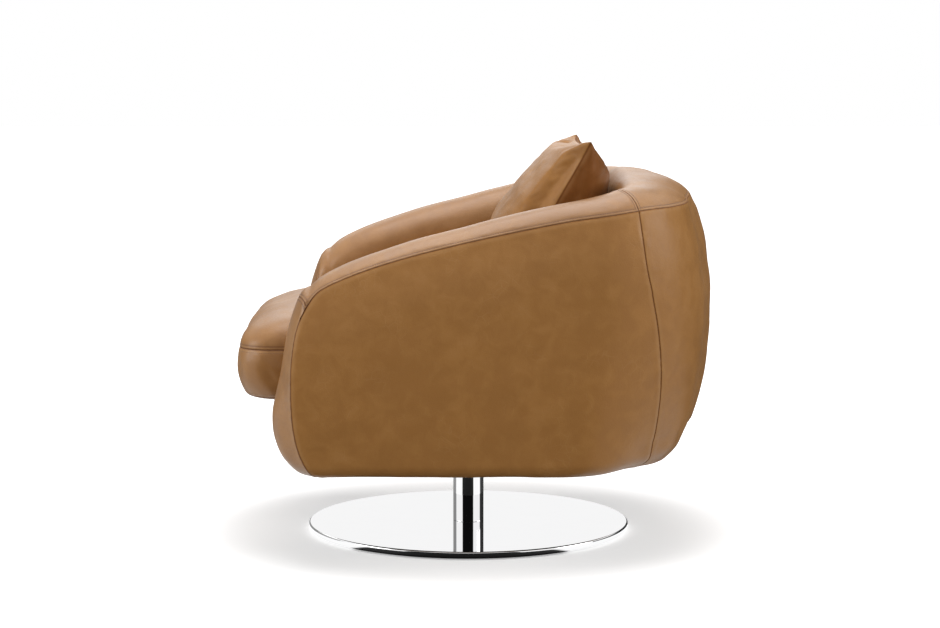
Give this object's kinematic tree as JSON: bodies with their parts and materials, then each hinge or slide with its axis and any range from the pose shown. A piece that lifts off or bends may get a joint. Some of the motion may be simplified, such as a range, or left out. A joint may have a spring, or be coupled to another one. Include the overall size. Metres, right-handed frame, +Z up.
{
  "type": "swivel armchair",
  "caption": "Low leather armchair with curved wraparound arms and back, a thick loose cushion and a soft pillow, turning on a round polished disc base.",
  "frame": {"origin": "on the swivel axis at floor level, at the centre of the disc's underside", "axes": "+Z up along the swivel axis, -Y towards the front of the chair, +X towards the sitter's left"},
  "size_m": [0.816, 0.846, 0.7331],
  "materials": {
    "tan_leather": "semi-aniline, light sheen",
    "foam": "open-cell foam",
    "feather_fill": "soft fill",
    "plywood": "sanded",
    "beech": "planed",
    "webbing": "woven strap",
    "felt_pad": "needled felt",
    "floor_felt": "pressed felt",
    "black_cloth": "non-woven",
    "polished_chrome": "mirror polished",
    "turned_steel": "turned",
    "zinc_steel": "zinc plated",
    "black_steel": "powder coated",
    "bearing_plastic": "natural"
  },
  "bodies": {
    "base": {"base_disc": "polished_chrome", "floor_felt": "floor_felt", "column_tube": "polished_chrome", "column_plug": "turned_steel", "base_bolt": "zinc_steel", "base_dowels": "zinc_steel", "lower_bush": "bearing_plastic", "upper_bush": "bearing_plastic", "thrust_washer": "bearing_plastic"},
    "seat": {"spindle": "turned_steel", "retaining_ring": "zinc_steel", "mount_plate": "black_steel", "mount_bolts": "zinc_steel", "tee_nuts": "zinc_steel", "base_board": "plywood", "arm_panel_left": "plywood", "arm_panel_right": "plywood", "back_panel": "plywood", "frame_screws": "zinc_steel", "corner_post_left": "beech", "corner_post_right": "beech", "side_rail_left": "beech", "side_rail_right": "beech", "front_rail": "beech", "rear_rail": "beech", "cross_straps": "webbing", "long_straps": "webbing", "deck_pad": "felt_pad", "deck_cloth": "black_cloth", "front_apron": "tan_leather", "dust_cover": "black_cloth", "arm_front_left": "tan_leather", "arm_front_right": "tan_leather", "arm_side_left": "tan_leather", "arm_side_right": "tan_leather", "arm_band_left": "tan_leather", "arm_band_right": "tan_leather", "back_outside": "tan_leather", "back_band": "tan_leather", "arm_foam_left": "foam", "arm_foam_right": "foam", "back_foam": "foam", "corner_foam_left": "foam", "corner_foam_right": "foam"},
    "cushion": {"cushion_top": "tan_leather", "cushion_border": "tan_leather", "cushion_underside": "tan_leather", "cushion_core": "foam"},
    "pillow": {"pillow_front": "tan_leather", "pillow_back": "tan_leather", "pillow_fill": "feather_fill"}
  },
  "joints": [
    {"name": "swivel", "type": "hinge", "parent": "base", "child": "seat", "pos_m": [0, 0, 0.15], "axis": [0, 0, 1], "continuous": true},
    {"name": "cushion_lift", "type": "slide", "parent": "seat", "child": "cushion", "axis": [0, 0, 1], "range_m": [0, 0.12]},
    {"name": "pillow_lift", "type": "slide", "parent": "cushion", "child": "pillow", "axis": [0, 0, 1], "range_m": [0, 0.15]}
  ]
}
